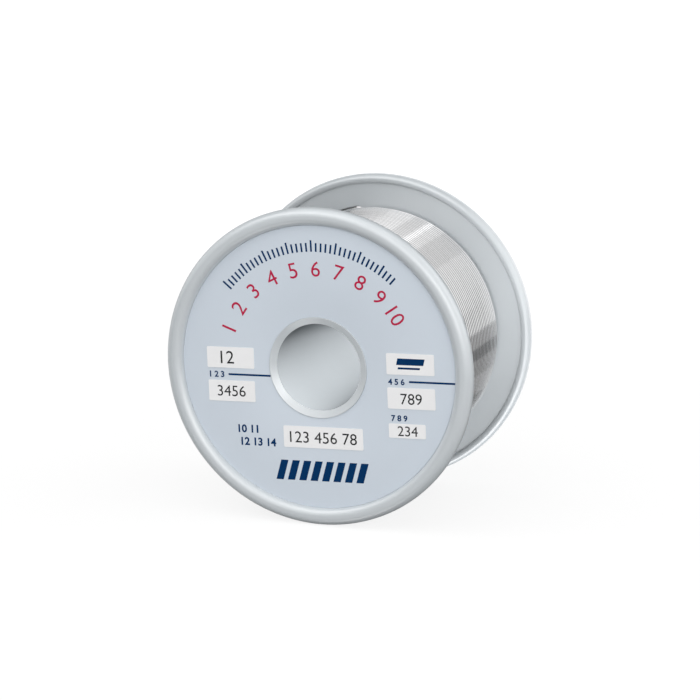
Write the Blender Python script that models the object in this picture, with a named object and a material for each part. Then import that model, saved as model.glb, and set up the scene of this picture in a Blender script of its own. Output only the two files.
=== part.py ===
"""A wound spool of solder wire: two beaded flanges on a ribbed core, with a paper label on the front.

The spool's axis lies along Y and its labelled front faces -Y. It stands on the rims of its flanges,
with +Z up and the origin in the middle of the bore. All sizes are in metres.
"""

import math

import bmesh
import bpy
from mathutils import Matrix, Vector

MM = 0.001

# Overall sizes
FLANGE_RADIUS = 36.5 * MM
TRAVERSE_WIDTH = 40.9 * MM  # between the inner faces of the flanges
BORE_RADIUS = 10.0 * MM

# Flange moulding
WEB_THICKNESS = 1.7 * MM
BEAD_WIDTH_OUTSIDE = 4.13 * MM
BEAD_HEIGHT_OUTSIDE = 1.55 * MM
BEAD_WIDTH_INSIDE = 2.1 * MM
BEAD_HEIGHT_INSIDE = 0.65 * MM
BEAD_LAND = 0.5 * MM  # flat crown that the spool lies on
COLLAR_DEPTH = 5.0 * MM
COLLAR_WALL = 1.1 * MM
COLLAR_DRAFT = 0.15 * MM
COLLAR_LEAD_IN = 0.35 * MM

# Core moulding
BORE_DRAFT = 0.45 * MM  # how much narrower the bore is at the rear, on its radius
HUB_WALL = 1.6 * MM
HUB_PROUD = 0.25 * MM  # how far the hub ring stands in front of the label
HUB_LAND = 0.35 * MM
MOUTH_DEPTH = 0.6 * MM
RIB_HEIGHT = 1.9 * MM
RIB_THICKNESS = 1.2 * MM
RIB_COUNT = 6
BARREL_WALL = 1.3 * MM
END_RELIEF = 0.3 * MM

# Wire slot in the rear flange, an arc with round ends
SLOT_WIDTH = 2.8 * MM
SLOT_SHOWING = 0.25 * MM  # how far the slot reaches past the winding
SLOT_START = math.radians(102.0)
SLOT_END = math.radians(119.0)

# Winding
FREEBOARD = 7.5 * MM  # from the surface of the winding to the edge of the flanges
WIRE_DIAMETER = 1.0 * MM

# Label and stickers
LABEL_THICKNESS = 0.10 * MM
STICKER_THICKNESS = 0.08 * MM
STICKER_CORNER = 0.3 * MM
PRINT_TURN = math.radians(2.4)
ARTWORK_RADIUS = 32.3 * MM  # label radius that the stickers below are laid out for
STICKERS = {
    # name: (centre x, centre z, width, height) on the label, in millimetres
    "grade_sticker": (-21.05, 1.55, 11.4, 4.85),
    "wire_size_sticker": (-21.05, -6.20, 11.3, 4.85),
    "order_number_sticker": (0.60, -16.20, 19.1, 5.0),
    "mark_sticker": (22.00, 1.65, 11.3, 4.85),
    "net_weight_sticker": (22.00, -6.20, 11.3, 4.85),
    "flux_sticker": (20.75, -13.70, 8.75, 3.3),
}

# Clearances
FIT = 0.15 * MM  # between mouldings that plug together
SEAT = 0.3 * MM  # between the winding and the plastic that holds it
GLUE = 0.02 * MM  # film under the label and the stickers

# Smoothness
FACETS = 72
CURVE_STEPS = 5

# Sizes that follow
HUB_RADIUS = BORE_RADIUS + HUB_WALL
BARREL_BORE = HUB_RADIUS + RIB_HEIGHT
BARREL_RADIUS = BARREL_BORE + BARREL_WALL
WINDING_RADIUS = FLANGE_RADIUS - FREEBOARD
FACE = TRAVERSE_WIDTH / 2  # from the middle of the spool to a flange's inner face
RECESS = FACE + WEB_THICKNESS
LABEL_FACE = RECESS + GLUE + LABEL_THICKNESS
HUB_END = LABEL_FACE + HUB_PROUD
CROWN = RECESS + BEAD_HEIGHT_OUTSIDE
BEAD_MIDDLE = (FACE - BEAD_HEIGHT_INSIDE + CROWN) / 2
LABEL_RADIUS = FLANGE_RADIUS - BEAD_WIDTH_OUTSIDE - FIT


def clear_scene():
    for obj in list(bpy.data.objects):
        bpy.data.objects.remove(obj, do_unlink=True)


def surface(name, colour, roughness, metallic=0.0):
    """A plain surface of one colour, given as red, green and blue."""
    made = bpy.data.materials.new(name)
    made.use_nodes = True
    shader = made.node_tree.nodes["Principled BSDF"]
    shader.inputs["Base Color"].default_value = (*colour, 1.0)
    shader.inputs["Roughness"].default_value = roughness
    shader.inputs["Metallic"].default_value = metallic
    return made


def finished(name, bm, material):
    """The object made from a closed bmesh, smooth across its shallow edges."""
    bmesh.ops.recalc_face_normals(bm, faces=bm.faces)
    mesh = bpy.data.meshes.new(name)
    bm.to_mesh(mesh)
    bm.free()
    mesh.shade_smooth()
    mesh.set_sharp_from_angle(angle=math.radians(35.0))
    obj = bpy.data.objects.new(name, mesh)
    obj.data.materials.append(material)
    bpy.context.scene.collection.objects.link(obj)
    return obj


def turned(name, profile, material):
    """A ring turned about Y from a closed profile of (radius, y) points.

    The profile starts half a facet round from +X, so that a flat facet lies at the bottom.
    """
    bm = bmesh.new()
    start = Matrix.Rotation(math.pi / FACETS, 4, "Y")
    corners = [bm.verts.new(start @ Vector((radius, y, 0.0))) for radius, y in profile]
    edges = [bm.edges.new(pair) for pair in zip(corners, corners[1:] + corners[:1])]
    bmesh.ops.spin(
        bm, geom=corners + edges, cent=(0.0, 0.0, 0.0), axis=(0.0, 1.0, 0.0),
        angle=2.0 * math.pi, steps=FACETS, use_duplicate=False,
    )
    bmesh.ops.remove_doubles(bm, verts=bm.verts, dist=0.001 * MM)
    return finished(name, bm, material)


def extruded(name, outline, low, high, material):
    """A plate with an outline of (x, z) points, from y = low to y = high."""
    bm = bmesh.new()
    near = [bm.verts.new((x, low, z)) for x, z in outline]
    plate = bm.faces.new(near)
    pushed = bmesh.ops.extrude_face_region(bm, geom=[plate])["geom"]
    far = [item for item in pushed if isinstance(item, bmesh.types.BMVert)]
    bmesh.ops.translate(bm, verts=far, vec=(0.0, high - low, 0.0))
    return finished(name, bm, material)


def arc(centre, across, along, start, end, steps=CURVE_STEPS):
    """Points of an elliptical arc from angle start to angle end, both included."""
    angles = [math.radians(start + (end - start) * i / steps) for i in range(steps + 1)]
    return [(centre[0] + across * math.cos(a), centre[1] + along * math.sin(a)) for a in angles]


def helper(obj):
    """Marks an object as a guide that only shapes another one."""
    obj.hide_render = True
    obj.display_type = "WIRE"
    return obj


def combine(obj, other, operation):
    step = obj.modifiers.new(f"{operation.lower()}_{other.name}", "BOOLEAN")
    step.operation = operation
    step.object = helper(other)


def radial_bar(name, angle, inner, outer, width, low, high, material):
    """A straight bar that runs out from the axis at an angle, between two radii."""
    bm = bmesh.new()
    bmesh.ops.create_cube(bm, size=1.0)
    bmesh.ops.scale(bm, verts=bm.verts, vec=(outer - inner, high - low, width))
    bmesh.ops.translate(bm, verts=bm.verts, vec=((inner + outer) / 2, (low + high) / 2, 0.0))
    bmesh.ops.rotate(bm, verts=bm.verts, cent=(0, 0, 0), matrix=Matrix.Rotation(-angle, 3, "Y"))
    return finished(name, bm, material)


def bead_profile():
    """The rim bead from the web's inner face, over the rim, to the floor of the label recess.

    Points are (radius, distance from the middle of the spool).
    """
    inner_half = BEAD_WIDTH_INSIDE / 2
    outer_half = (BEAD_WIDTH_OUTSIDE - BEAD_LAND) / 2
    inner_crown = FLANGE_RADIUS - inner_half
    outer_crown = FLANGE_RADIUS - outer_half
    over_inside = BEAD_MIDDLE - (FACE - BEAD_HEIGHT_INSIDE)
    over_outside = CROWN - BEAD_MIDDLE
    points = arc((inner_crown, FACE), inner_half, BEAD_HEIGHT_INSIDE, 180, 270, 3)
    points += arc((inner_crown, BEAD_MIDDLE), inner_half, over_inside, -90, 0)[1:]
    points += arc((outer_crown, BEAD_MIDDLE), outer_half, over_outside, 0, 90)[1:]
    points += arc((outer_crown - BEAD_LAND, RECESS), outer_half, BEAD_HEIGHT_OUTSIDE, 90, 180)
    return points


def flange(name, side, material):
    """A flange on the side -1 (front) or 1 (rear), with a slotted collar that plugs into the barrel."""
    hole = HUB_RADIUS + FIT
    collar_outer = BARREL_BORE - FIT
    collar_inner = collar_outer - COLLAR_WALL
    collar_end = FACE - COLLAR_DEPTH
    profile = [
        (hole, RECESS),
        (hole, FACE),
        (collar_inner, FACE),
        (collar_inner, collar_end),
        (collar_outer - COLLAR_LEAD_IN - COLLAR_DRAFT, collar_end),
        (collar_outer - COLLAR_DRAFT, collar_end + COLLAR_LEAD_IN),
        (collar_outer, FACE),
    ]
    profile += bead_profile()
    obj = turned(name, [(radius, side * y) for radius, y in profile], material)
    low, high = sorted((side * (FACE - 0.5 * FIT), side * (collar_end - END_RELIEF)))
    for i in range(RIB_COUNT):
        slot = radial_bar(
            f"{name}_rib_slot_{i + 1}", rib_angle(i), collar_inner - FIT, BARREL_BORE + FIT,
            RIB_THICKNESS + 2 * FIT, low, high, material,
        )
        combine(obj, slot, "DIFFERENCE")
    return obj


def rib_angle(index):
    return 2.0 * math.pi * (index + 0.5) / RIB_COUNT


def wire_slot(material):
    """Cutter for the rear flange's wire slot, an arc that reaches just past the winding."""
    middle = WINDING_RADIUS + SLOT_SHOWING - SLOT_WIDTH / 2
    half = SLOT_WIDTH / 2
    steps = 6

    def along(radius, start, end):
        angles = [start + (end - start) * i / steps for i in range(steps + 1)]
        return [(radius * math.cos(a), radius * math.sin(a)) for a in angles]

    def round_end(angle, first):
        centre = (middle * math.cos(angle), middle * math.sin(angle))
        turn = math.degrees(angle) + first
        return arc(centre, half, half, turn, turn + 180, steps)[1:-1]

    outline = along(middle + half, SLOT_START, SLOT_END) + round_end(SLOT_END, 0)
    outline += along(middle - half, SLOT_END, SLOT_START) + round_end(SLOT_START, 180)
    return extruded("wire_slot_cutter", outline, FACE - SEAT, RECESS + SEAT, material)


def hub_profile():
    """The drafted bore tube, with a chamfered mouth and a narrow flat land at each end."""
    land = HUB_RADIUS - HUB_LAND
    inner = HUB_END - MOUTH_DEPTH
    return [
        (BORE_RADIUS, -inner),
        (land, -HUB_END),
        (HUB_RADIUS, -HUB_END),
        (HUB_RADIUS, HUB_END),
        (land, HUB_END),
        (BORE_RADIUS - BORE_DRAFT, inner),
    ]


def core(material):
    """The bore tube and the winding barrel, joined by ribs into one moulding."""
    obj = turned("core", hub_profile(), material)
    end = FACE - END_RELIEF
    barrel_profile = [(BARREL_BORE, -end), (BARREL_RADIUS, -end), (BARREL_RADIUS, end), (BARREL_BORE, end)]
    combine(obj, turned("barrel_guide", barrel_profile, material), "UNION")
    for i in range(RIB_COUNT):
        rib = radial_bar(
            f"rib_guide_{i + 1}", rib_angle(i), HUB_RADIUS - HUB_WALL / 2, BARREL_BORE + BARREL_WALL / 2,
            RIB_THICKNESS, -end + END_RELIEF, end - END_RELIEF, material,
        )
        combine(obj, rib, "UNION")
    return obj


def winding(material):
    """The wound wire as the outer shape of all its turns, rounded where the end turns lie."""
    inner = BARREL_RADIUS + SEAT
    end = FACE - SEAT
    edge = WIRE_DIAMETER / 2
    rear = arc((WINDING_RADIUS - edge, end - edge), edge, edge, 0, 90, 3)
    front = [(radius, -y) for radius, y in reversed(rear)]
    return turned("solder_wire", [(inner, -end)] + front + rear + [(inner, end)], material)


def front_label(material):
    """The paper ring in the recess of the front flange."""
    inner = HUB_RADIUS + FIT
    back = -(RECESS + GLUE)
    profile = [(inner, -LABEL_FACE), (LABEL_RADIUS, -LABEL_FACE), (LABEL_RADIUS, back), (inner, back)]
    return turned("front_label", profile, material)


def sticker(name, x, z, width, height, material):
    """A small white sticker on the label, with rounded corners."""
    scale = LABEL_RADIUS / ARTWORK_RADIUS
    half_width = scale * width * MM / 2 - STICKER_CORNER
    half_height = scale * height * MM / 2 - STICKER_CORNER
    signs = [(1, 1), (-1, 1), (-1, -1), (1, -1)]
    outline = []
    for quarter, (sx, sz) in enumerate(signs):
        centre = (sx * half_width, sz * half_height)
        outline += arc(centre, STICKER_CORNER, STICKER_CORNER, 90 * quarter, 90 * quarter + 90, 3)
    front = -(LABEL_FACE + GLUE + STICKER_THICKNESS)
    obj = extruded(name, outline, front, -(LABEL_FACE + GLUE), material)
    turn = Matrix.Rotation(-PRINT_TURN, 4, "Y")
    obj.matrix_world = turn @ Matrix.Translation((scale * x * MM, 0.0, scale * z * MM))
    return obj


def build():
    clear_scene()
    plastic = surface("moulded_plastic", (0.68, 0.71, 0.73), 0.35)
    solder = surface("solder", (0.72, 0.72, 0.73), 0.3, 1.0)
    label_paper = surface("label_paper", (0.54, 0.61, 0.69), 0.45)
    sticker_paper = surface("sticker_paper", (0.86, 0.86, 0.87), 0.5)

    flange("front_flange", -1, plastic)
    rear = flange("rear_flange", 1, plastic)
    combine(rear, wire_slot(plastic), "DIFFERENCE")
    core(plastic)
    winding(solder)
    front_label(label_paper)
    for name, (x, z, width, height) in STICKERS.items():
        sticker(name, x, z, width, height, sticker_paper)


build()
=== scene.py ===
import math

import bmesh
import bpy
import numpy as np
from mathutils import Matrix, Vector

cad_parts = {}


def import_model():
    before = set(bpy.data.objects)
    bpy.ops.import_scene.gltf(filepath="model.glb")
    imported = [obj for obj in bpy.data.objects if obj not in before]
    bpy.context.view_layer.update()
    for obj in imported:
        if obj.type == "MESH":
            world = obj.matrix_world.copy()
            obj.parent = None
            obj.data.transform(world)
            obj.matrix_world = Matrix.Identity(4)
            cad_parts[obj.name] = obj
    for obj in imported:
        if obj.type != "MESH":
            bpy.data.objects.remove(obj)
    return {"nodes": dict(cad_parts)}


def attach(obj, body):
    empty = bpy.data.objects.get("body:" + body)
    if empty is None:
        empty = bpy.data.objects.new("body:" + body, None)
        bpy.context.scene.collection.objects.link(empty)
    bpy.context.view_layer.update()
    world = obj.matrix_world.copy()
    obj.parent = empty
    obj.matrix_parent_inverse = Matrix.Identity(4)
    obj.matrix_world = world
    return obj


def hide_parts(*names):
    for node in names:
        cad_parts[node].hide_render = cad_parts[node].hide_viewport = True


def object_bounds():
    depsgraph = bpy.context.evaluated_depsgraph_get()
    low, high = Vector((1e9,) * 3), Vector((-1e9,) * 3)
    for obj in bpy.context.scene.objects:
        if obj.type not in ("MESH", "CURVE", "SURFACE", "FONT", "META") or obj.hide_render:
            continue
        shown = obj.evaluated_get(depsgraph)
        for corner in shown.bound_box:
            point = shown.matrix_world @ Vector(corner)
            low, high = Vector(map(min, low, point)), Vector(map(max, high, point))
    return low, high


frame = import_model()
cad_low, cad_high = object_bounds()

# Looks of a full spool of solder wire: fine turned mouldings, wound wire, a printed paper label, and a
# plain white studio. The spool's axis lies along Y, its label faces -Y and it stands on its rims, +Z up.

MM = 0.001
PHOTO_SIDE = 700  # pixels

# Sizes of the spool. They are those of its CAD parts, apart from the foot of the bead, the hub's land
# and mouth, the bore's draft and the label's edge, which follow the photograph more closely.
RIM_RADIUS = cad_high.x
FACE = 20.45 * MM  # from the middle of the spool to a flange's inner face
RECESS = 22.15 * MM  # from there to the floor of a flange's outer recess
BEAD_OUTSIDE = 4.13 * MM  # the bead's width on the outer side of its flange
BEAD_INSIDE = 2.1 * MM
BEAD_PROUD_INSIDE = 0.65 * MM
BEAD_LAND = 0.5 * MM  # the flat crown on which the spool stands on end
BEAD_SHOULDER = 1.66 * MM  # how far the crown's curve reaches in towards the recess
BEAD_SHOULDER_TURN = 154  # degrees, where that curve ends in a straight foot
BEAD_FOOT_SLOPE = 0.25
HUB_RADIUS = 11.6 * MM
HUB_END = 22.52 * MM
HUB_LAND = 0.12 * MM
BORE_RADIUS = 10.0 * MM
BORE_DRAFT = 0.70 * MM  # how much less the radius is at the rear
BORE_SKIN = 0.4 * MM
MOUTH_DEPTH = 0.68 * MM
BARREL_BORE = 13.5 * MM
BARREL_RADIUS = 14.8 * MM
COLLAR_WALL = 1.1 * MM
COLLAR_DEPTH = 5.0 * MM
COLLAR_DRAFT = 0.15 * MM
RIB_COUNT = 6
RIB_THICKNESS = 1.2 * MM
RIB_ROOT = 0.5 * MM  # how far a rib reaches into the tube and into the barrel
WINDING_RADIUS = 29.0 * MM
LABEL_FACE = 22.27 * MM
LABEL_BACK = 22.17 * MM
LABEL_RADIUS = 32.48 * MM
LABEL_GAP = 0.02 * MM
LABEL_CUT = 0.03 * MM  # the roundness of its cut edges
STICKER_FACE = 22.37 * MM
PRINT_TURN = math.radians(2.4)  # the label is glued on a little askew
FIT = 0.15 * MM  # play between mouldings that plug together
SEAT = 0.3 * MM  # how far cutters pass through, and ribs stay clear of, the faces beside them

# Roundness of the moulded edges
HOLE_EDGE = 0.15 * MM
COLLAR_EDGE = 0.1 * MM
COLLAR_LEAD_IN = 0.35 * MM
CORE_EDGE = 0.08 * MM

# Wire slot in the rear flange
SLOT_WIDTH = 2.8 * MM
SLOT_MIDDLE = 27.85 * MM
SLOT_START = math.radians(102.0)
SLOT_END = math.radians(119.0)

# Wound wire
WIRE_RADIUS = 0.5 * MM
TURNS = 37
TURN_STEPS = 240
WIRE_SIDES = 12
SETTLING = 0.02 * MM  # how far the outer turns lie inside WINDING_RADIUS
UNEVENNESS = 0.006 * MM  # how much a turn rises and falls along its way
UNEVENNESS_LIMIT = 1.5  # the largest rise, against UNEVENNESS
PAST_SLOT = math.radians(1.0)  # how far past the slot's end the last turn runs
TAIL_STEPS = 36
TAIL_ARC = math.radians(20.1)  # the last stretch of the wire, which ends in the slot
TAIL_BEND = 0.18  # the share of that stretch over which the wire bends into the slot
TAIL_LIFT = 0.88 * MM  # how far outside the middle of the slot the wire lies, and above its floor

# Layers beneath the outer one
BENEATH_DROP = 0.15 * MM  # how much deeper than the outer turns' inner side their crests lie
BENEATH_CREST = 0.3 * MM
BENEATH_TURN = 75  # degrees of each crest on both sides of its top
BENEATH_GAP = 0.05 * MM  # between the lowest layer and the barrel
BENEATH_SEGMENTS = 120
BENEATH_STEPS = 4

# Ink on the label and on the stickers
INK_PROUD = 0.015 * MM
INK_SUNK = 0.005 * MM

# Fineness and smoothing of the surfaces
SEGMENTS = 240
FILLET_STEPS = 4
BEAD_INSIDE_STEPS = 8
BEAD_RIM_STEPS = 12
BEAD_CROWN_STEPS = 14
SMOOTH_ANGLE = math.radians(35.0)
FIGURE_STEPS = 4
FIGURE_WELD = 0.0005  # of the figures' type size, to close their outlines

# The part of a noise's range that is spread over a finish
NOISE_LOW, NOISE_HIGH = 0.3, 0.7


# --- Meshes ---------------------------------------------------------------------------------------


def piece(name, verts, faces, material):
    """A mesh object, smooth across its shallow edges."""
    mesh = bpy.data.meshes.new(name)
    mesh.from_pydata([tuple(v) for v in verts], [], [tuple(f) for f in faces])
    mesh.validate()
    bm = bmesh.new()
    bm.from_mesh(mesh)
    bmesh.ops.recalc_face_normals(bm, faces=bm.faces)
    bm.to_mesh(mesh)
    bm.free()
    mesh.shade_smooth()
    mesh.set_sharp_from_angle(angle=SMOOTH_ANGLE)
    obj = bpy.data.objects.new(name, mesh)
    bpy.context.scene.collection.objects.link(obj)
    if material:
        obj.data.materials.append(material)
    return obj


def ring_mesh(profile, segments):
    """Vertices and faces of a closed profile of (radius, y) points turned about Y."""
    count = len(profile)
    verts = []
    for i in range(segments):
        angle = 2.0 * math.pi * i / segments
        verts += [(r * math.cos(angle), y, r * math.sin(angle)) for r, y in profile]
    faces = []
    for i in range(segments):
        near, far = i * count, (i + 1) % segments * count
        for j in range(count):
            k = (j + 1) % count
            faces.append((near + j, near + k, far + k, far + j))
    return verts, faces


def turned(name, profile, material, segments=SEGMENTS):
    """A piece whose closed profile of (radius, y) points is turned about the spool's axis."""
    verts, faces = ring_mesh(profile, segments)
    return piece(name, verts, faces, material)


def arc(centre, across, along, start, end, steps):
    """Points of an elliptical arc from angle start to angle end, in degrees, both included."""
    angles = [math.radians(start + (end - start) * i / steps) for i in range(steps + 1)]
    return [(centre[0] + across * math.cos(a), centre[1] + along * math.sin(a)) for a in angles]


def filleted(corners):
    """A closed profile from (radius, y, fillet) corners, each with a fillet arc unless it is 0."""
    points = []
    for i, (x, y, fillet) in enumerate(corners):
        here = Vector((x, y))
        if not fillet:
            points.append(tuple(here))
            continue
        before = Vector(corners[i - 1][:2]) - here
        after = Vector(corners[(i + 1) % len(corners)][:2]) - here
        half = before.angle(after) / 2.0
        reach = min(fillet / math.tan(half), 0.45 * before.length, 0.45 * after.length)
        radius = reach * math.tan(half)
        bisector = (before.normalized() + after.normalized()).normalized()
        centre = here + bisector * (radius / math.sin(half))
        first = here + before.normalized() * reach - centre
        sweep = first.angle_signed(here + after.normalized() * reach - centre)
        for step in range(FILLET_STEPS + 1):
            turn = Matrix.Rotation(-sweep * step / FILLET_STEPS, 2)
            points.append(tuple(centre + turn @ first))
    return points


def prism(outline, low, high):
    """Vertices and faces of a plate with an (x, z) outline, from y = low to y = high."""
    count = len(outline)
    verts = [(x, low, z) for x, z in outline] + [(x, high, z) for x, z in outline]
    faces = [tuple(range(count)), tuple(range(2 * count - 1, count - 1, -1))]
    faces += [(i, (i + 1) % count, (i + 1) % count + count, i + count) for i in range(count)]
    return verts, faces


def merged(parts):
    """One vertex and face list from several."""
    verts, faces = [], []
    for some_verts, some_faces in parts:
        base = len(verts)
        verts += list(some_verts)
        faces += [tuple(i + base for i in face) for face in some_faces]
    return verts, faces


def bar(angle, inner, outer, width, low, high):
    """Vertices and faces of a straight bar that runs out from the axis at an angle."""
    along = Vector((math.cos(angle), math.sin(angle)))
    across = Vector((-along.y, along.x)) * width / 2.0
    near, far = along * inner, along * outer
    corners = [near - across, far - across, far + across, near + across]
    return prism([tuple(c) for c in corners], low, high)


def boolean(obj, cutter_parts, operation):
    """Cuts closed shapes, given as vertex and face lists, from an object's mesh or joins them to it."""
    other = piece(obj.name + "_guide", *merged(cutter_parts), None)
    step = obj.modifiers.new(operation.lower(), "BOOLEAN")
    step.operation = operation
    step.object = other
    bpy.context.view_layer.update()
    evaluated = obj.evaluated_get(bpy.context.evaluated_depsgraph_get())
    mesh = bpy.data.meshes.new_from_object(evaluated)
    obj.modifiers.clear()
    obj.data = mesh
    mesh.shade_smooth()
    mesh.set_sharp_from_angle(angle=SMOOTH_ANGLE)
    bpy.data.objects.remove(other)


# --- Materials ------------------------------------------------------------------------------------


class Nodes:
    """A material's node tree, with one call for each kind of node that the finishes use."""

    def __init__(self, name, metallic=0.0):
        self.material = bpy.data.materials.new(name)
        self.material.use_nodes = True
        self.tree = self.material.node_tree
        self.shader = self.tree.nodes["Principled BSDF"]
        self.shader.inputs["Metallic"].default_value = metallic
        self.place = self.add("ShaderNodeTexCoord").outputs["Object"]

    def add(self, kind, **inputs):
        """A new node, with its inputs set or linked by name, an underscore standing for a space."""
        node = self.tree.nodes.new(kind)
        for key, value in inputs.items():
            self.feed(node.inputs[key.replace("_", " ")], value)
        return node

    def feed(self, socket, value):
        """Links a socket to another node's output, or sets it to a plain value."""
        if isinstance(value, bpy.types.NodeSocket):
            self.tree.links.new(value, socket)
        else:
            socket.default_value = value

    def stretched(self, scale):
        """The object's coordinates, scaled by a factor for each axis."""
        node = self.add("ShaderNodeMapping", Vector=self.place, Scale=scale)
        return node.outputs["Vector"]

    def noise(self, scale, detail, roughness=0.5, vector=None):
        """Noise over the object, or over other coordinates such as stretched ones."""
        node = self.add("ShaderNodeTexNoise", Vector=vector or self.place)
        node.inputs["Scale"].default_value = scale
        node.inputs["Detail"].default_value = detail
        node.inputs["Roughness"].default_value = roughness
        return node.outputs["Fac"]

    def spread(self, value, low, high):
        """A noise value carried over to the range from low to high."""
        node = self.add("ShaderNodeMapRange", Value=value)
        node.inputs["From Min"].default_value = NOISE_LOW
        node.inputs["From Max"].default_value = NOISE_HIGH
        node.inputs["To Min"].default_value = low
        node.inputs["To Max"].default_value = high
        return node.outputs["Result"]

    def blend(self, share, one, other):
        """One colour where share is 0, turning to the other where it is 1."""
        node = self.add("ShaderNodeMix")
        node.data_type = "RGBA"
        # Inputs 6 and 7 and output 2 are the node's colours
        self.feed(node.inputs["Factor"], share)
        self.feed(node.inputs[6], one)
        self.feed(node.inputs[7], other)
        return node.outputs[2]

    def bump(self, height, depth, normal=None):
        """Fine relief of a depth, laid on the relief of another bump if one is given."""
        node = self.add("ShaderNodeBump", Height=height)
        node.inputs["Strength"].default_value = 1.0
        node.inputs["Distance"].default_value = depth
        if normal:
            self.feed(node.inputs["Normal"], normal)
        return node.outputs["Normal"]

    def finish(self, colour, roughness, normal=None):
        """Feeds the shader and gives the material."""
        self.feed(self.shader.inputs["Base Color"], colour)
        self.feed(self.shader.inputs["Roughness"], roughness)
        if normal:
            self.feed(self.shader.inputs["Normal"], normal)
        return self.material


def tint(colour, factor):
    """A colour made lighter or darker, with a full alpha."""
    return (*(min(1.0, channel * factor) for channel in colour), 1.0)


def moulded_plastic(name, shade, roughness, mirror):
    """Pale grey styrene: faint flow marks, a fine moulded grain and hairline scuffs.

    shade is how light its grey is, and mirror is how much it mirrors, both 1 for the outer mouldings. A
    shade below 1 is painted shade: the bore's inside gets a darker grey because it lies in shadow.
    """
    nodes = Nodes(name)
    nodes.shader.inputs["IOR"].default_value = 1.75
    nodes.shader.inputs["Specular IOR Level"].default_value = mirror
    colour = tint((0.530, 0.566, 0.590), shade)[:3]
    cloud = nodes.spread(nodes.noise(70.0, 4.0), 0.0, 1.0)
    grain = nodes.noise(2600.0, 2.0)
    scuff = nodes.noise(14.0, 6.0, 0.75, nodes.stretched((9.0, 90.0, 1.2)))
    tone = nodes.blend(cloud, tint(colour, 0.985), tint(colour, 1.012))
    shine = nodes.spread(scuff, roughness - 0.02, roughness + 0.02)
    relief = nodes.bump(grain, 0.004 * MM)
    relief = nodes.bump(nodes.noise(230.0, 2.0), 0.006 * MM, normal=relief)
    return nodes.finish(tone, shine, relief)


def drawn_solder():
    """Bright drawn tin alloy: fine streaks along the wire, and turns that differ a little."""
    nodes = Nodes("drawn_solder", metallic=1.0)
    streaks = nodes.noise(1.0, 4.0, 0.6, nodes.stretched((60.0, 9000.0, 60.0)))
    turns = nodes.noise(1.0, 1.0, 0.5, nodes.stretched((25.0, 900.0, 25.0)))
    tone = nodes.blend(
        nodes.spread(streaks, 0.0, 1.0), (0.735, 0.735, 0.740, 1.0), (0.800, 0.800, 0.806, 1.0)
    )
    shine = nodes.spread(turns, 0.07, 0.11)
    relief = nodes.bump(streaks, 0.003 * MM)
    return nodes.finish(tone, shine, relief)


def coated_paper(name, colour, roughness):
    """Smooth coated paper with short fibres just showing through the coating."""
    nodes = Nodes(name)
    fibres = nodes.noise(1.0, 5.0, 0.65, nodes.stretched((2600.0, 900.0, 1500.0)))
    cloud = nodes.noise(160.0, 3.0)
    tone = nodes.blend(nodes.spread(cloud, 0.0, 1.0), tint(colour, 0.988), tint(colour, 1.006))
    tone = nodes.blend(nodes.spread(fibres, 0.0, 0.35), tone, tint(colour, 0.975))
    relief = nodes.bump(fibres, 0.002 * MM)
    shine = nodes.spread(fibres, roughness - 0.04, roughness + 0.04)
    return nodes.finish(tone, shine, relief)


def printed_ink(name, colour):
    """Ink that the paper drinks unevenly."""
    nodes = Nodes(name)
    nodes.shader.inputs["Specular IOR Level"].default_value = 0.06
    specks = nodes.noise(1900.0, 3.0, 0.6)
    tone = nodes.blend(nodes.spread(specks, 0.0, 1.0), tint(colour, 0.92), tint(colour, 1.08))
    return nodes.finish(tone, nodes.spread(specks, 0.50, 0.62))


# --- Mouldings ------------------------------------------------------------------------------------


def rib_angle(index):
    """Where a rib of the core stands, and the slot for it in each collar."""
    return 2.0 * math.pi * (index + 0.5) / RIB_COUNT


def bead_profile():
    """The rim bead from the web's inner face over the rim to the floor of the outer recess."""
    crown = cad_high.y
    inner_half = BEAD_INSIDE / 2.0
    outer_half = (BEAD_OUTSIDE - BEAD_LAND) / 2.0
    inner_crown = RIM_RADIUS - inner_half
    outer_crown = RIM_RADIUS - outer_half
    middle = (FACE - BEAD_PROUD_INSIDE + crown) / 2.0
    inner_rise = middle - FACE + BEAD_PROUD_INSIDE
    shoulder = (outer_crown - BEAD_LAND, RECESS)
    points = arc((inner_crown, FACE), inner_half, BEAD_PROUD_INSIDE, 180, 270, BEAD_INSIDE_STEPS)
    points += arc((inner_crown, middle), inner_half, inner_rise, -90, 0, BEAD_RIM_STEPS)[1:]
    points += arc((outer_crown, middle), outer_half, crown - middle, 0, 90, BEAD_CROWN_STEPS)[1:]
    points += arc(shoulder, BEAD_SHOULDER, crown - RECESS, 90, BEAD_SHOULDER_TURN, BEAD_CROWN_STEPS)
    radius, height = points[-1]
    points.append((radius - (height - RECESS) * BEAD_FOOT_SLOPE, RECESS))
    return points


def wire_slot():
    """Outline of the wire slot, an arc with round ends."""
    steps, end_steps = 16, 12
    half = SLOT_WIDTH / 2.0

    def along(radius, start, end):
        angles = [start + (end - start) * i / steps for i in range(steps + 1)]
        return [(radius * math.cos(a), radius * math.sin(a)) for a in angles]

    def round_end(angle, first):
        centre = (SLOT_MIDDLE * math.cos(angle), SLOT_MIDDLE * math.sin(angle))
        turn = math.degrees(angle) + first
        return arc(centre, half, half, turn, turn + 180, end_steps)[1:-1]

    outline = along(SLOT_MIDDLE + half, SLOT_START, SLOT_END) + round_end(SLOT_END, 0)
    return outline + along(SLOT_MIDDLE - half, SLOT_END, SLOT_START) + round_end(SLOT_START, 180)


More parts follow.
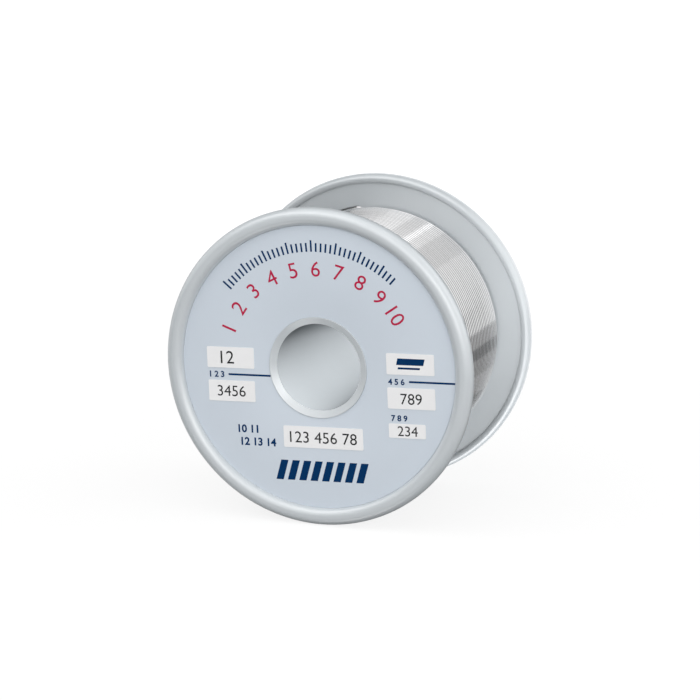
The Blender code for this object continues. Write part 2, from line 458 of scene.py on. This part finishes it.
def flange(name, node, side, material):
    """A flange with its rounded bead, its collar and the slots in the collar for the core's ribs."""
    hole = HUB_RADIUS + FIT
    collar_outer = BARREL_BORE - FIT
    collar_inner = collar_outer - COLLAR_WALL
    collar_end = FACE - COLLAR_DEPTH
    corners = [
        (hole, RECESS, HOLE_EDGE),
        (hole, FACE, 0),
        (collar_inner, FACE, 0),
        (collar_inner, collar_end, COLLAR_EDGE),
        (collar_outer - COLLAR_DRAFT, collar_end, COLLAR_LEAD_IN),
        (collar_outer, FACE, COLLAR_EDGE),
    ]
    profile = filleted(corners + [(r, y, 0) for r, y in bead_profile()])
    obj = turned(name, [(r, side * y) for r, y in profile], material)
    low, high = sorted((side * (FACE - FIT / 2.0), side * (collar_end - SEAT)))
    cutters = [
        bar(rib_angle(i), collar_inner - FIT, BARREL_BORE + FIT, RIB_THICKNESS + 2 * FIT, low, high)
        for i in range(RIB_COUNT)
    ]
    if side > 0:
        cutters.append(prism(wire_slot(), FACE - SEAT, RECESS + SEAT))
    boolean(obj, cutters, "DIFFERENCE")
    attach(obj, "root")
    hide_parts(node)
    return obj


def core(material):
    """The bore tube with its chamfered mouths, the winding barrel and the ribs between them."""
    land = HUB_RADIUS - HUB_LAND
    mouth = HUB_END - MOUTH_DEPTH
    skin = BORE_RADIUS + BORE_SKIN
    corners = [
        (BORE_RADIUS, -mouth, 0),
        (land, -HUB_END, CORE_EDGE),
        (HUB_RADIUS, -HUB_END, CORE_EDGE),
        (HUB_RADIUS, HUB_END, CORE_EDGE),
        (land, HUB_END, CORE_EDGE),
        (BORE_RADIUS - BORE_DRAFT, mouth, 0),
        (skin, mouth - BORE_SKIN, 0),
        (skin, BORE_SKIN - mouth, 0),
    ]
    obj = turned("spool_core", filleted(corners), material)
    end = FACE - SEAT
    barrel = filleted([
        (BARREL_BORE, -end, CORE_EDGE),
        (BARREL_RADIUS, -end, CORE_EDGE),
        (BARREL_RADIUS, end, CORE_EDGE),
        (BARREL_BORE, end, CORE_EDGE),
    ])
    inner, outer = HUB_RADIUS - RIB_ROOT, BARREL_BORE + RIB_ROOT
    ribs = [
        bar(rib_angle(i), inner, outer, RIB_THICKNESS, -end + SEAT, end - SEAT)
        for i in range(RIB_COUNT)
    ]
    boolean(obj, [ring_mesh(barrel, SEGMENTS)], "UNION")
    boolean(obj, ribs, "UNION")
    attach(obj, "root")
    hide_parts("core")
    return obj


def bore_wall(material):
    """The drafted skin of the bore, inside the tube and meeting it at both mouths, which carries the
    bore's darker plastic: painted shade.
    """
    mouth = HUB_END - MOUTH_DEPTH
    skin = BORE_RADIUS + BORE_SKIN
    profile = [
        (BORE_RADIUS, -mouth),
        (skin, BORE_SKIN - mouth),
        (skin, mouth - BORE_SKIN),
        (BORE_RADIUS - BORE_DRAFT, mouth),
    ]
    obj = turned("bore_wall", profile, material)
    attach(obj, "root")
    return obj


# --- Wound wire -----------------------------------------------------------------------------------


def eased(share):
    """A smooth step from 0 to 1 as a share goes from 0 to 1."""
    share = max(0.0, min(1.0, share))
    return share * share * (3.0 - 2.0 * share)


def wire_path():
    """Points along the outer layer: even turns from the front flange, then a bend into the slot."""
    steps = TURNS * TURN_STEPS
    waves = TURN_STEPS // 3  # steps over which the unevenness is smoothed
    rises = np.random.default_rng(7).normal(0.0, 1.0, steps + 1)
    rises = np.convolve(rises, np.hanning(waves + 1) / math.sqrt(waves * 3.0 / 8.0), "same")
    rises = rises.clip(-UNEVENNESS_LIMIT, UNEVENNESS_LIMIT)
    middle = WINDING_RADIUS - WIRE_RADIUS - SETTLING
    end = FACE - SEAT / 2.0 - WIRE_RADIUS
    last_angle = SLOT_END + PAST_SLOT
    points = []
    for i in range(steps + 1):
        share = i / steps
        angle = last_angle + 2.0 * math.pi * TURNS * (1.0 - share)
        radius = middle + UNEVENNESS * rises[i]
        y = -end + 2.0 * end * share
        points.append(Vector((radius * math.cos(angle), y, radius * math.sin(angle))))
    radius = math.hypot(points[-1].x, points[-1].z)
    half = SLOT_WIDTH / 2.0
    for i in range(1, TAIL_STEPS + 1):
        share = i / TAIL_STEPS
        ease = eased(share / TAIL_BEND)
        angle = last_angle - TAIL_ARC * share
        # Past the slot's last angle the wire follows its round end wall
        beyond = SLOT_MIDDLE * max(0.0, SLOT_START - angle)
        lift = math.sqrt(half ** 2 - beyond ** 2) - half + TAIL_LIFT
        here = radius + (SLOT_MIDDLE + lift - radius) * ease
        y = end + (RECESS - WIRE_RADIUS - TAIL_LIFT - end) * ease
        points.append(Vector((here * math.cos(angle), y, here * math.sin(angle))))
    return points


def tube(points, radius, sides):
    """A closed tube along points that wind about Y."""
    verts, faces = [], []
    for i, here in enumerate(points):
        ahead = points[min(i + 1, len(points) - 1)] - points[max(i - 1, 0)]
        ahead.normalize()
        out = Vector((here.x, 0.0, here.z)).normalized()
        side = ahead.cross(out).normalized()
        out = side.cross(ahead)
        for j in range(sides):
            angle = 2.0 * math.pi * j / sides
            verts.append(here + radius * (out * math.cos(angle) + side * math.sin(angle)))
    for i in range(len(points) - 1):
        for j in range(sides):
            k = (j + 1) % sides
            faces.append((i * sides + j, i * sides + k, (i + 1) * sides + k, (i + 1) * sides + j))
    faces.append(tuple(range(sides)))
    faces.append(tuple(range(len(verts) - 1, len(verts) - 1 - sides, -1)))
    return verts, faces


def winding(material):
    """The outer layer of turns as one wire, on the layers beneath it, which show as fine ridges."""
    wire = piece("wound_wire", *tube(wire_path(), WIRE_RADIUS, WIRE_SIDES), material)
    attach(wire, "root")
    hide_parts("solder_wire")
    pitch = 2.0 * (FACE - SEAT / 2.0 - WIRE_RADIUS) / TURNS
    crest = WINDING_RADIUS - 2.0 * WIRE_RADIUS - BENEATH_DROP - BENEATH_CREST
    lowest = BARREL_RADIUS + BENEATH_GAP
    end = FACE - SEAT
    profile = [(lowest, -end)]
    for i in range(TURNS):
        place = (crest, (i - (TURNS - 1) / 2.0) * pitch)
        profile += arc(place, BENEATH_CREST, pitch / 2.0, -BENEATH_TURN, BENEATH_TURN, BENEATH_STEPS)
    profile.append((lowest, end))
    inner = turned("wire_beneath", profile, material, BENEATH_SEGMENTS)
    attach(inner, "root")
    return wire, inner


# --- Label and print ------------------------------------------------------------------------------


def on_label(x, z, turn=0.0):
    """Places print at a point given in the label's own directions, turned about its own middle."""
    place = Matrix.Rotation(PRINT_TURN, 2) @ Vector((x, z))
    spin = Matrix.Rotation(PRINT_TURN + turn, 2)
    return lambda u, v: tuple(place + spin @ Vector((u, v)))


def round_label(angle, radius):
    """Places print at an angle round the label, with its head outwards."""
    return on_label(radius * math.cos(angle), radius * math.sin(angle), angle - math.pi / 2.0)


def block(width, height, place, lean=0.0):
    """A rectangle, or a leaning bar, as an outline on the label."""
    corners = [(-width, -height), (width, -height), (width, height), (-width, height)]
    return [place(u / 2.0 + lean * v / 2.0, v / 2.0) for u, v in corners]


def flat_figures(text, height, bold=0.0):
    """Flat vertices and faces of plain figures, centred, with the height of a full figure."""
    curve = bpy.data.curves.new("figures", "FONT")
    curve.body = text
    curve.align_x = "CENTER"
    curve.resolution_u = FIGURE_STEPS
    curve.offset = bold
    obj = bpy.data.objects.new("figures", curve)
    bpy.context.scene.collection.objects.link(obj)
    bpy.context.view_layer.update()
    mesh = bpy.data.meshes.new_from_object(obj.evaluated_get(bpy.context.evaluated_depsgraph_get()))
    bm = bmesh.new()
    bm.from_mesh(mesh)
    bmesh.ops.remove_doubles(bm, verts=bm.verts, dist=FIGURE_WELD)
    bm.verts.index_update()
    points = [(v.co.x, v.co.y) for v in bm.verts]
    faces = [tuple(v.index for v in face.verts) for face in bm.faces]
    bm.free()
    bpy.data.objects.remove(obj)
    bpy.data.meshes.remove(mesh)
    across = [u for u, v in points]
    along = [v for u, v in points]
    middle_u = (min(across) + max(across)) / 2.0
    middle_v = (min(along) + max(along)) / 2.0
    scale = height / (max(along) - min(along))
    return [((u - middle_u) * scale, (v - middle_v) * scale) for u, v in points], faces


def printed(name, outlines, figures, face, material):
    """One piece of thin raised ink from outlines and from placed figures, on a face of the paper."""
    front, back = -(face + INK_PROUD), -(face - INK_SUNK)
    bm = bmesh.new()
    flat = [(outline, [tuple(range(len(outline)))]) for outline in outlines]
    for (points, faces), place in figures:
        flat.append(([place(u, v) for u, v in points], faces))
    for points, faces in flat:
        verts = [bm.verts.new((x, back, z)) for x, z in points]
        made = [bm.faces.new([verts[i] for i in face_points]) for face_points in faces]
        raised = bmesh.ops.extrude_face_region(bm, geom=made, use_keep_orig=True)["geom"]
        top = [item for item in raised if isinstance(item, bmesh.types.BMVert)]
        bmesh.ops.translate(bm, verts=top, vec=(0.0, front - back, 0.0))
    bmesh.ops.recalc_face_normals(bm, faces=bm.faces)
    mesh = bpy.data.meshes.new(name)
    bm.to_mesh(mesh)
    bm.free()
    obj = bpy.data.objects.new(name, mesh)
    obj.data.materials.append(material)
    bpy.context.scene.collection.objects.link(obj)
    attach(obj, "root")


def label(material):
    """The paper ring in the front recess, with softly cut edges."""
    inner = HUB_RADIUS + LABEL_GAP
    profile = filleted([
        (inner, -LABEL_FACE, LABEL_CUT),
        (LABEL_RADIUS, -LABEL_FACE, LABEL_CUT),
        (LABEL_RADIUS, -LABEL_BACK, 0),
        (inner, -LABEL_BACK, 0),
    ])
    ring = turned("label_ring", profile, material)
    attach(ring, "root")
    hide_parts("front_label")


def dial_ticks():
    """A fine scale round the top of the label, with a long tick at each fifth place."""
    first, step, count = math.radians(139.0), math.radians(2.4), 39
    foot, width, short, long = 26.5 * MM, 0.42 * MM, 2.0 * MM, 2.6 * MM
    outlines = []
    for i in range(count):
        tall = short if i % 5 else long
        outlines.append(block(width, tall, round_label(first - step * i, foot + tall / 2.0)))
    return outlines


def dial_numbers(height):
    """Plain numbers round the inside of the scale."""
    first, step, count = math.radians(158.5), math.radians(13.9), 10
    middle = 22.6 * MM
    return [
        (flat_figures(str(i + 1), height), round_label(first - step * i, middle))
        for i in range(count)
    ]


def rules():
    """The two thin rules beside the hub."""
    thickness, height = 0.45 * MM, -2.36 * MM
    return [
        block(10.2 * MM, thickness, on_label(-16.6 * MM, height)),
        block(10.8 * MM, thickness, on_label(26.9 * MM, height)),
    ]


def stripes():
    """A row of leaning bars at the foot of the label."""
    count, pitch = 8, 2.75 * MM
    places = [on_label((i - (count - 1) / 2.0) * pitch, -24.0 * MM) for i in range(count)]
    return [block(1.75 * MM, 4.6 * MM, place, lean=0.3) for place in places]


def captions():
    """Small bold figures that number the fields of the label."""
    small, large, bold = 1.45 * MM, 1.9 * MM, 0.03
    return [
        (flat_figures("1 2 3", small, bold), on_label(-24.5 * MM, -2.4 * MM)),
        (flat_figures("4 5 6", small, bold), on_label(18.5 * MM, -2.45 * MM)),
        (flat_figures("7 8 9", small, bold), on_label(18.9 * MM, -10.8 * MM)),
        (flat_figures("10 11", large, bold), on_label(-17.5 * MM, -14.85 * MM)),
        (flat_figures("12 13 14", large, bold), on_label(-15.1 * MM, -17.8 * MM)),
    ]


def sticker_figures():
    """Plain counting numbers on the data stickers."""
    return [
        (flat_figures("12", 2.9 * MM), on_label(-21.8 * MM, 1.6 * MM)),
        (flat_figures("3456", 2.5 * MM), on_label(-21.1 * MM, -6.2 * MM)),
        (flat_figures("123 456 78", 2.6 * MM), on_label(0.6 * MM, -16.2 * MM)),
        (flat_figures("789", 2.5 * MM), on_label(21.9 * MM, -6.3 * MM)),
        (flat_figures("234", 2.3 * MM), on_label(20.8 * MM, -13.7 * MM)),
    ]


def print_work():
    """All the ink: navy and red on the label, dark grey and navy on the stickers."""
    navy = printed_ink("navy_ink", (0.0005, 0.030, 0.108))
    red = printed_ink("red_ink", (0.465, 0.022, 0.070))
    grey = printed_ink("dark_grey_ink", (0.030, 0.030, 0.032))
    printed("scale_ticks", dial_ticks(), [], LABEL_FACE, navy)
    printed("label_rules", rules(), [], LABEL_FACE, navy)
    printed("label_stripes", stripes(), [], LABEL_FACE, navy)
    printed("field_numbers", [], captions(), LABEL_FACE, navy)
    printed("scale_numbers", [], dial_numbers(3.5 * MM), LABEL_FACE, red)
    printed("sticker_numbers", [], sticker_figures(), STICKER_FACE, grey)
    mark = [block(6.4 * MM, 1.5 * MM, on_label(22.0 * MM, 2.2 * MM), lean=0.25)]
    mark.append(block(5.2 * MM, 0.45 * MM, on_label(21.6 * MM, 0.7 * MM), lean=0.25))
    printed("sticker_mark", mark, [], STICKER_FACE, navy)


# --- Studio ---------------------------------------------------------------------------------------

# The photograph's camera, in metres and degrees
CAMERA_PLACE = Vector((0.276734, -0.764440, 0.194109))
CAMERA_AZIMUTH = 19.93
CAMERA_ELEVATION = 13.49
FOCAL_PIXELS = 3640.0


def direction(azimuth, elevation):
    """A unit vector at an azimuth from the front towards +X and an elevation, in degrees."""
    azimuth, elevation = math.radians(azimuth), math.radians(elevation)
    return Vector((
        math.sin(azimuth) * math.cos(elevation),
        -math.cos(azimuth) * math.cos(elevation),
        math.sin(elevation),
    ))


def studio_camera():
    """The camera at the photograph's place, found from the rims, the label and the bore."""
    data = bpy.data.cameras.new("camera")
    data.sensor_width = 36.0
    data.lens = FOCAL_PIXELS * data.sensor_width / PHOTO_SIDE
    data.clip_start, data.clip_end = 0.05, 20.0
    camera = bpy.data.objects.new("camera", data)
    camera.location = CAMERA_PLACE
    back = direction(CAMERA_AZIMUTH, CAMERA_ELEVATION)
    camera.rotation_euler = back.to_track_quat("Z", "Y").to_euler()
    bpy.context.scene.collection.objects.link(camera)
    bpy.context.scene.camera = camera


def seen_directly(tree):
    """One for camera, glossy and transmission rays, and zero for the rays that light things."""
    path = tree.nodes.new("ShaderNodeLightPath")
    total = path.outputs["Is Camera Ray"]
    for kind in ("Is Glossy Ray", "Is Transmission Ray"):
        larger = tree.nodes.new("ShaderNodeMath")
        larger.operation = "MAXIMUM"
        tree.links.new(total, larger.inputs[0])
        tree.links.new(path.outputs[kind], larger.inputs[1])
        total = larger.outputs[0]
    return total


# The bands of light that the wire mirrors. Each has the angles round the winding, in degrees from +X
# towards +Z, between which it shows to the camera, and a level.
BANDS = [
    (-42.0, -25.0, 0.12),
    (-25.0, -13.3, 0.50),
    (-13.3, -4.4, 0.33),
    (-4.4, 1.0, 0.09),
    (1.0, 8.0, 0.42),
    (8.0, 19.0, 0.99),
    (19.0, 43.5, 1.02),
    (43.5, 55.3, 0.82),
    (55.3, 60.5, 1.12),
    (60.5, 64.6, 1.70),
    (64.6, 71.5, 0.97),
    (71.5, 82.0, 1.32),
    (82.0, 100.0, 1.16),
]
BAND_RANGE = 2.0  # the level of a fully white stop
BANDS_FADE = (-0.707, -0.259)  # they fade between these values of the mirroring surface's Y
WITHIN_BANDS = 0.10  # the even grey under the bands
BEYOND_BANDS = 0.09  # and that of the rest of the studio

# The floor: its own glow near the spool turns to plain white farther away, in metres
FLOOR_HALF = 6.0
FLOOR_NEAR, FLOOR_FAR = 0.12, 0.5
FLOOR_GLOW = 0.82
FLOOR_SHADOW = (0.20, 0.20, 0.20, 1.0)
FLOOR_GREY = (0.50, 0.50, 0.50, 1.0)

# Wide soft lamps: azimuth from the front towards +X, elevation and half the width in degrees, and a
# level. The first list lights all but the wire and the bore, and each other one only its own pieces.
SOFT_BOXES = [
    (-63.1, 39.7, 12.8, 1.284),
    (-12.8, -54.4, 12.6, 1.390),
    (-121.9, -8.2, 40.4, 0.501),
    (149.5, 2.1, 14.1, 0.450),
    (119.8, 28.5, 29.0, 0.992),
    (-68.6, 28.6, 31.8, 0.611),
    (108.0, 1.7, 36.6, 0.300),
]
FRONT_BOXES = [
    (10.0, 25.0, 14.0, 0.95),
    (38.6, 12.4, 18.4, 1.21),
    (21.5, 12.2, 12.0, 0.80),
]
RIM_BOXES = [(-25.0, 46.0, 16.0, 1.05)]
HUB_BOXES = [
    (25.0, 11.5, 12.0, 0.95),
    (-60.0, -35.0, 30.0, 0.25),
]
REAR_BOXES = [
    (15.0, -14.0, 14.0, 0.60),
    (45.0, -35.0, 40.0, 0.85),
    (30.0, -60.0, 30.0, 1.90),
    (-15.0, 55.0, 25.0, 0.65),
]
WIRE_BOXES = [
    (165.0, 33.0, 33.0, 0.60),
    (158.0, -5.0, 15.0, 0.35),
    (-171.0, 22.0, 13.0, 0.45),
    (-110.0, 15.0, 30.0, 0.80),
    (-35.0, -12.0, 20.0, 0.60),
]
BACK_BOXES = [(180.0, 0.0, 35.0, 1.30)]
BORE_BOXES = [(9.2, 11.2, 4.0, 1880.0)]


def banded_level(tree):
    """The studio's own level: a fan of bands at the front right, and a dim even grey elsewhere."""

    def node(kind, *values, **settings):
        """A new node, with its settings, and its first inputs linked or set."""
        made = tree.nodes.new(kind)
        for key, value in settings.items():
            setattr(made, key, value)
        for socket, value in zip(made.inputs, values):
            if isinstance(value, bpy.types.NodeSocket):
                tree.links.new(value, socket)
            elif value is not None:
                socket.default_value = value
        return made

    place = node("ShaderNodeTexCoord").outputs["Generated"]
    back = direction(CAMERA_AZIMUTH, CAMERA_ELEVATION)
    facing = node("ShaderNodeVectorMath", place, back, operation="ADD")
    facing = node("ShaderNodeVectorMath", facing.outputs[0], operation="NORMALIZE")
    parts = node("ShaderNodeSeparateXYZ", facing.outputs[0])
    round_axis = node("ShaderNodeMath", parts.outputs["Z"], parts.outputs["X"], operation="ARCTAN2")
    share = node("ShaderNodeMapRange", round_axis.outputs[0], -math.pi, math.pi, 0.0, 1.0)
    ramp = node("ShaderNodeValToRGB", share.outputs[0])
    ramp.color_ramp.interpolation = "CONSTANT"
    stops = ramp.color_ramp.elements
    stops[0].position, stops[0].color = 0.0, (0.0, 0.0, 0.0, 0.0)
    stops[1].position, stops[1].color = BANDS[-1][1] / 360.0 + 0.5, (0.0, 0.0, 0.0, 0.0)
    for start, _, level in BANDS:
        stop = stops.new(start / 360.0 + 0.5)
        grey = level / BAND_RANGE
        stop.color = (grey, grey, grey, 1.0)
    front = node("ShaderNodeMapRange", parts.outputs["Y"], *BANDS_FADE, 1.0, 0.0,
                 interpolation_type="SMOOTHSTEP")
    base = node("ShaderNodeMath", ramp.outputs["Alpha"], WITHIN_BANDS - BEYOND_BANDS, BEYOND_BANDS,
                operation="MULTIPLY_ADD")
    glow = node("ShaderNodeMath", ramp.outputs["Color"], front.outputs[0], operation="MULTIPLY")
    return node("ShaderNodeMath", glow.outputs[0], BAND_RANGE, base.outputs[0],
                operation="MULTIPLY_ADD").outputs[0]


def world():
    """White where the camera sees it, and a dim studio with bands of light for everything else."""
    made = bpy.data.worlds.new("studio")
    made.use_nodes = True
    tree = made.node_tree
    path = tree.nodes.new("ShaderNodeLightPath")
    strength = tree.nodes.new("ShaderNodeMix")  # inputs 2 and 3 are its plain numbers
    tree.links.new(path.outputs["Is Camera Ray"], strength.inputs["Factor"])
    tree.links.new(banded_level(tree), strength.inputs[2])
    strength.inputs[3].default_value = 1.0
    background = tree.nodes["Background"]
    background.inputs["Color"].default_value = (1.0, 1.0, 1.0, 1.0)
    tree.links.new(strength.outputs[0], background.inputs["Strength"])
    bpy.context.scene.world = made


def soft_boxes(name, boxes, pieces, state):
    """Wide lamps that light only some pieces (state INCLUDE) or all but some (EXCLUDE)."""
    group = bpy.data.collections.new(name)
    for piece_lit in pieces:
        group.objects.link(piece_lit)
    for entry in group.collection_objects:
        entry.light_linking.link_state = state
    for number, (azimuth, elevation, half, level) in enumerate(boxes):
        toward = direction(azimuth, elevation)
        data = bpy.data.lights.new("%s_%d" % (name, number + 1), "SUN")
        data.angle = 2.0 * math.radians(half)
        data.energy = level * math.pi * math.sin(math.radians(half)) ** 2
        obj = bpy.data.objects.new(data.name, data)
        obj.location = toward
        obj.rotation_euler = toward.to_track_quat("Z", "Y").to_euler()
        obj.visible_camera = False
        bpy.context.scene.collection.objects.link(obj)
        obj.light_linking.receiver_collection = group


def floor_material():
    """Near white with the spool's shadow where it is seen, and a mid grey to the light it gives back."""
    made = bpy.data.materials.new("studio_floor")
    made.use_nodes = True
    tree = made.node_tree
    tree.nodes.clear()
    output = tree.nodes.new("ShaderNodeOutputMaterial")
    pick = tree.nodes.new("ShaderNodeMixShader")
    lit = tree.nodes.new("ShaderNodeBsdfDiffuse")
    lit.inputs["Color"].default_value = FLOOR_GREY
    shown = tree.nodes.new("ShaderNodeAddShader")
    shadowed = tree.nodes.new("ShaderNodeBsdfDiffuse")
    shadowed.inputs["Color"].default_value = FLOOR_SHADOW
    glow = tree.nodes.new("ShaderNodeEmission")
    place = tree.nodes.new("ShaderNodeNewGeometry")
    reach = tree.nodes.new("ShaderNodeVectorMath")
    reach.operation = "LENGTH"
    level = tree.nodes.new("ShaderNodeMapRange")
    level.interpolation_type = "SMOOTHSTEP"
    level.inputs["From Min"].default_value = FLOOR_NEAR
    level.inputs["From Max"].default_value = FLOOR_FAR
    level.inputs["To Min"].default_value = FLOOR_GLOW
    level.inputs["To Max"].default_value = 1.0
    tree.links.new(place.outputs["Position"], reach.inputs[0])
    tree.links.new(reach.outputs["Value"], level.inputs["Value"])
    tree.links.new(level.outputs["Result"], glow.inputs["Strength"])
    tree.links.new(glow.outputs[0], shown.inputs[0])
    tree.links.new(shadowed.outputs[0], shown.inputs[1])
    tree.links.new(seen_directly(tree), pick.inputs[0])
    tree.links.new(lit.outputs[0], pick.inputs[1])
    tree.links.new(shown.outputs[0], pick.inputs[2])
    tree.links.new(pick.outputs[0], output.inputs["Surface"])
    return made


def floor():
    """A wide floor under the rims, which only catches the shadow."""
    signs = [(-1, -1), (1, -1), (1, 1), (-1, 1)]
    corners = [(u * FLOOR_HALF, v * FLOOR_HALF, cad_low.z) for u, v in signs]
    obj = piece("studio_floor", corners, [(0, 1, 2, 3)], floor_material())
    obj.visible_diffuse = False
    obj.visible_glossy = False
    obj.visible_shadow = False


# --- The spool in its studio ----------------------------------------------------------------------

studio_camera()
world()
floor()
bpy.context.scene.view_settings.view_transform = "Standard"

plastic = moulded_plastic("moulded_plastic", shade=1.0, roughness=0.30, mirror=1.0)
# The bore's inside is the same plastic with its grey at 0.42: painted shade, since the deep bore lies in
# shadow.
bore_plastic_painted_shade = moulded_plastic("bore_plastic_painted_shade", shade=0.42, roughness=0.5, mirror=0.0)
metal = drawn_solder()
label_paper = coated_paper("label_paper", (0.610, 0.671, 0.741), 0.46)
sticker_paper = coated_paper("sticker_paper", (0.860, 0.860, 0.866), 0.52)

rim = flange("flange_front", "front_flange", -1, plastic)
rear = flange("flange_rear", "rear_flange", 1, plastic)
hub = core(plastic)
bore = bore_wall(bore_plastic_painted_shade)
wires = winding(metal)
label(label_paper)
print_work()
for node_name, node in frame["nodes"].items():
    if node_name.endswith("_sticker"):
        node.data.materials.clear()
        node.data.materials.append(sticker_paper)

front = [
    obj for obj in bpy.context.scene.objects
    if obj.type == "MESH" and not obj.hide_render and obj not in (rear, bore, *wires)
]
soft_boxes("soft_box", SOFT_BOXES, [bore, *wires], "EXCLUDE")
soft_boxes("front_box", FRONT_BOXES, front, "INCLUDE")
soft_boxes("rim_box", RIM_BOXES, [rim], "INCLUDE")
soft_boxes("hub_box", HUB_BOXES, [hub], "INCLUDE")
soft_boxes("rear_box", REAR_BOXES, [rear], "INCLUDE")
soft_boxes("back_box", BACK_BOXES, [rear, hub], "INCLUDE")
soft_boxes("wire_box", WIRE_BOXES, wires, "INCLUDE")
soft_boxes("bore_box", BORE_BOXES, [bore], "INCLUDE")
